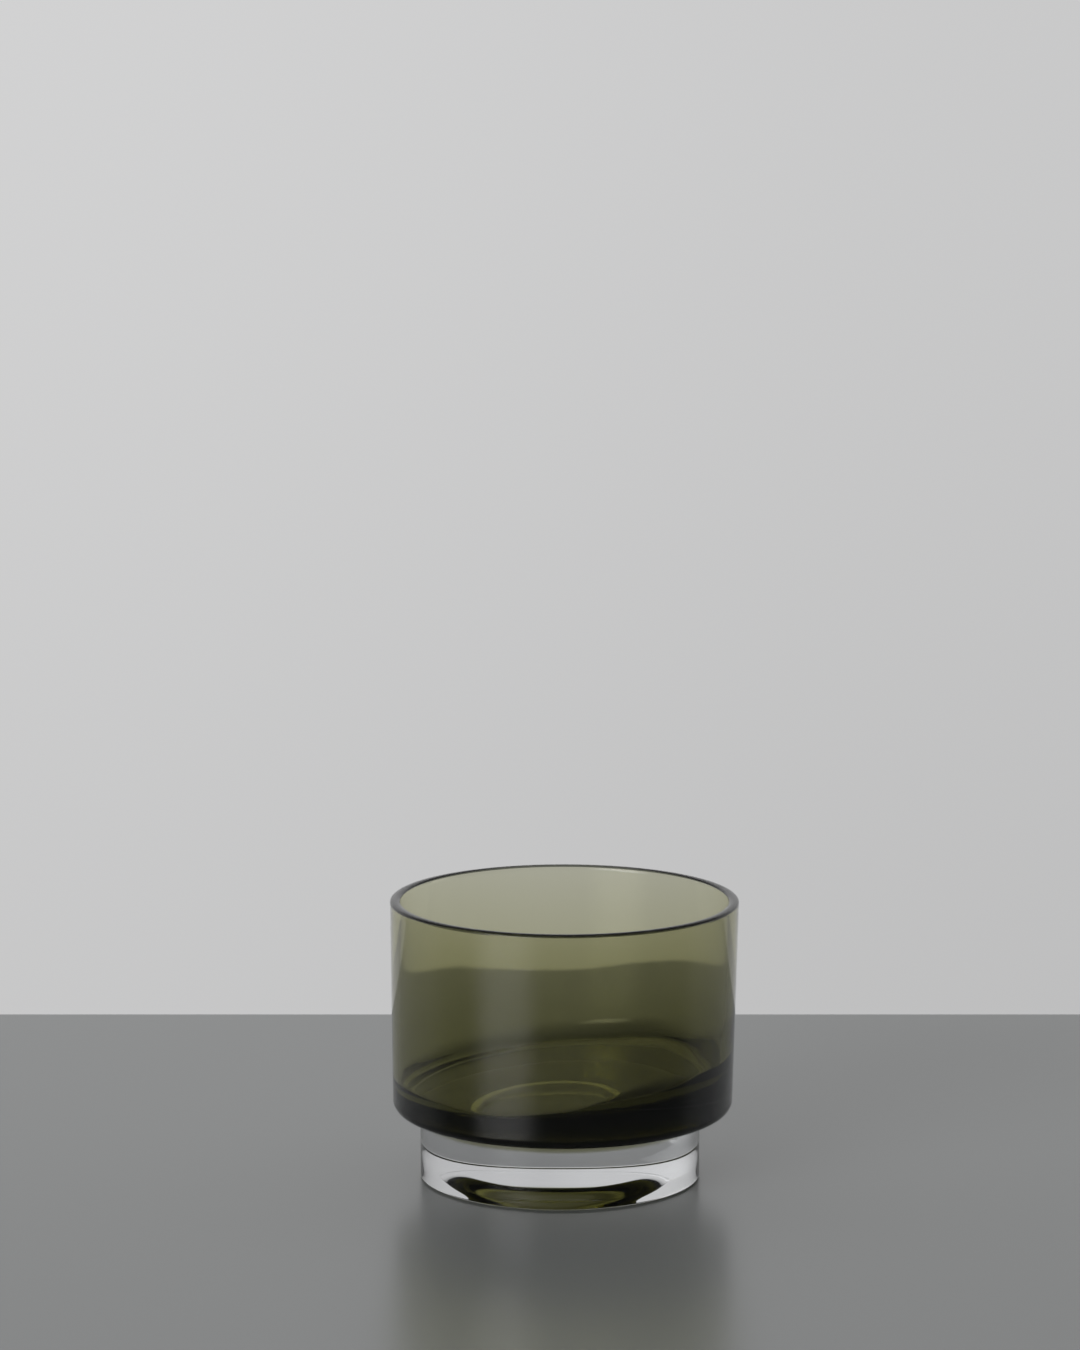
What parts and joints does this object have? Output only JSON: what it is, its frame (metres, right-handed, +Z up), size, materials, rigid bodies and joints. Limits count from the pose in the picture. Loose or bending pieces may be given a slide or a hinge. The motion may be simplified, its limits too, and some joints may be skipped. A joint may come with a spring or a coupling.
{
  "type": "cortado glass",
  "caption": "Straight-walled drinking glass with a smoky olive bowl, rounded rim and thick bottom, fused onto a narrower solid clear foot with a hollowed underside.",
  "frame": {"origin": "on the bowl's axis, at the height of the table that the foot stands on", "axes": "+Z up along the bowl's axis, -Y towards the picture's viewer, +X to the viewer's right"},
  "size_m": [0.08, 0.08, 0.065],
  "materials": {
    "olive_glass": "clear through and smoky olive, fire-polished",
    "clear_glass": "clear through, fire-polished"
  },
  "bodies": {
    "root": {"bowl": "olive_glass", "foot": "clear_glass"}
  },
  "joints": []
}
